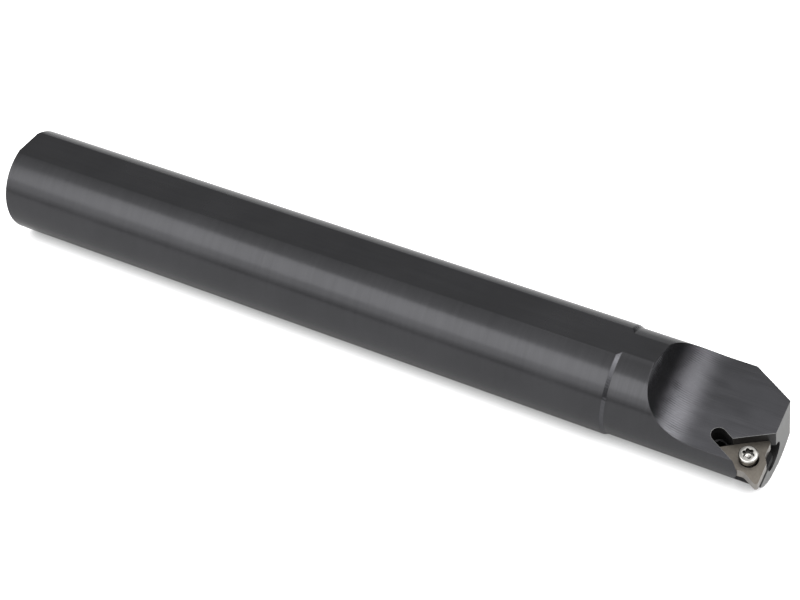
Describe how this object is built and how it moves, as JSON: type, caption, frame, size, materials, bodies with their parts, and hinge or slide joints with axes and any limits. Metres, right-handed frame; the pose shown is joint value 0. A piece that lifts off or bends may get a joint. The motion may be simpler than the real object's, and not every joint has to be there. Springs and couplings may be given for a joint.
{
  "type": "boring bar",
  "caption": "Round steel boring bar with clamping flats and a relieved neck, carrying a screwed-on triangular threading insert in a tilted seat with a shim.",
  "frame": {"origin": "centre of the bar's flat back end, on the shank's axis", "axes": "+X along the bar from its back end to its front face; +Z square out of the top clamping flat; the cutting tip points to -Y"},
  "size_m": [0.2503, 0.0331, 0.03],
  "materials": {
    "holder": "black oxide, satin, finely machined",
    "shim": "ground, matt",
    "small_screw": "plain satin steel",
    "carbide": "coated carbide, satin, with ground flanks",
    "bright_screw": "bright, polished"
  },
  "bodies": {
    "root": {"holder_bar": "holder", "shim": "shim", "shim_screw": "small_screw", "insert": "carbide", "insert_screw": "bright_screw"}
  },
  "joints": []
}
